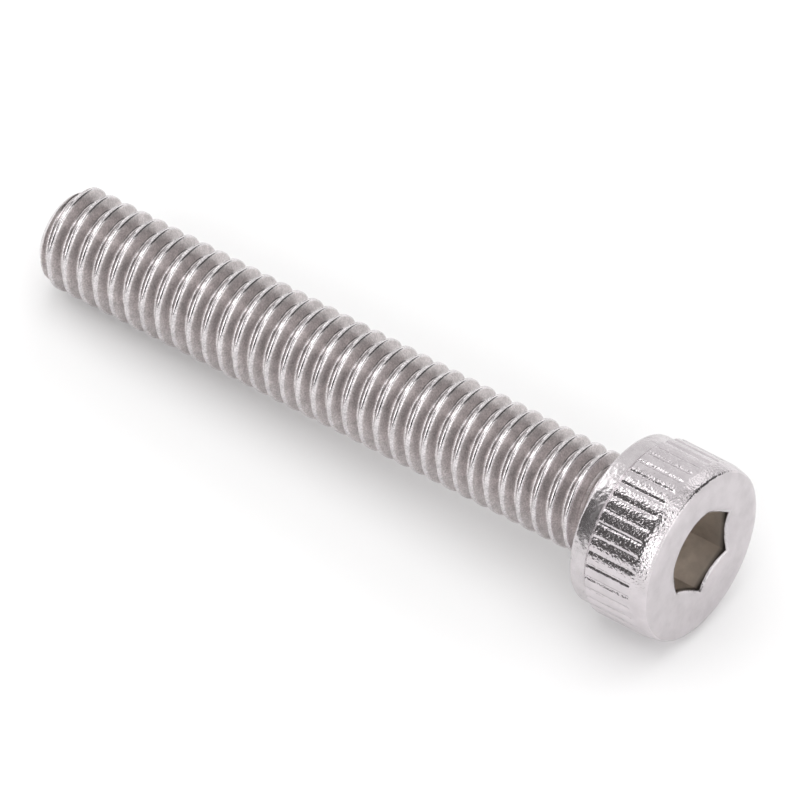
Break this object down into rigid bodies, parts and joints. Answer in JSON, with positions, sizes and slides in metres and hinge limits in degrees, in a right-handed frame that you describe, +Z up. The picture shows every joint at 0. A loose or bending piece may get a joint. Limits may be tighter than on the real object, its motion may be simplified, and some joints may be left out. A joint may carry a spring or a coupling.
{
  "type": "hex socket cap screw",
  "caption": "Stainless steel cap screw with a knurled cylindrical head, a blind hex socket and a coarse thread up to the head.",
  "frame": {"origin": "centre of the bounding box on the surface that the screw lies on", "axes": "the screw lies on its side in the XZ plane: the tip points along -X, the head along +X with the axis rising by 3.36 degrees toward the head, +Z up"},
  "size_m": [0.0288, 0.0068, 0.0069],
  "materials": {
    "stainless": "bright satin stainless steel, rolled thread, knurled head"
  },
  "bodies": {
    "root": {"cap_screw": "stainless"}
  },
  "joints": []
}
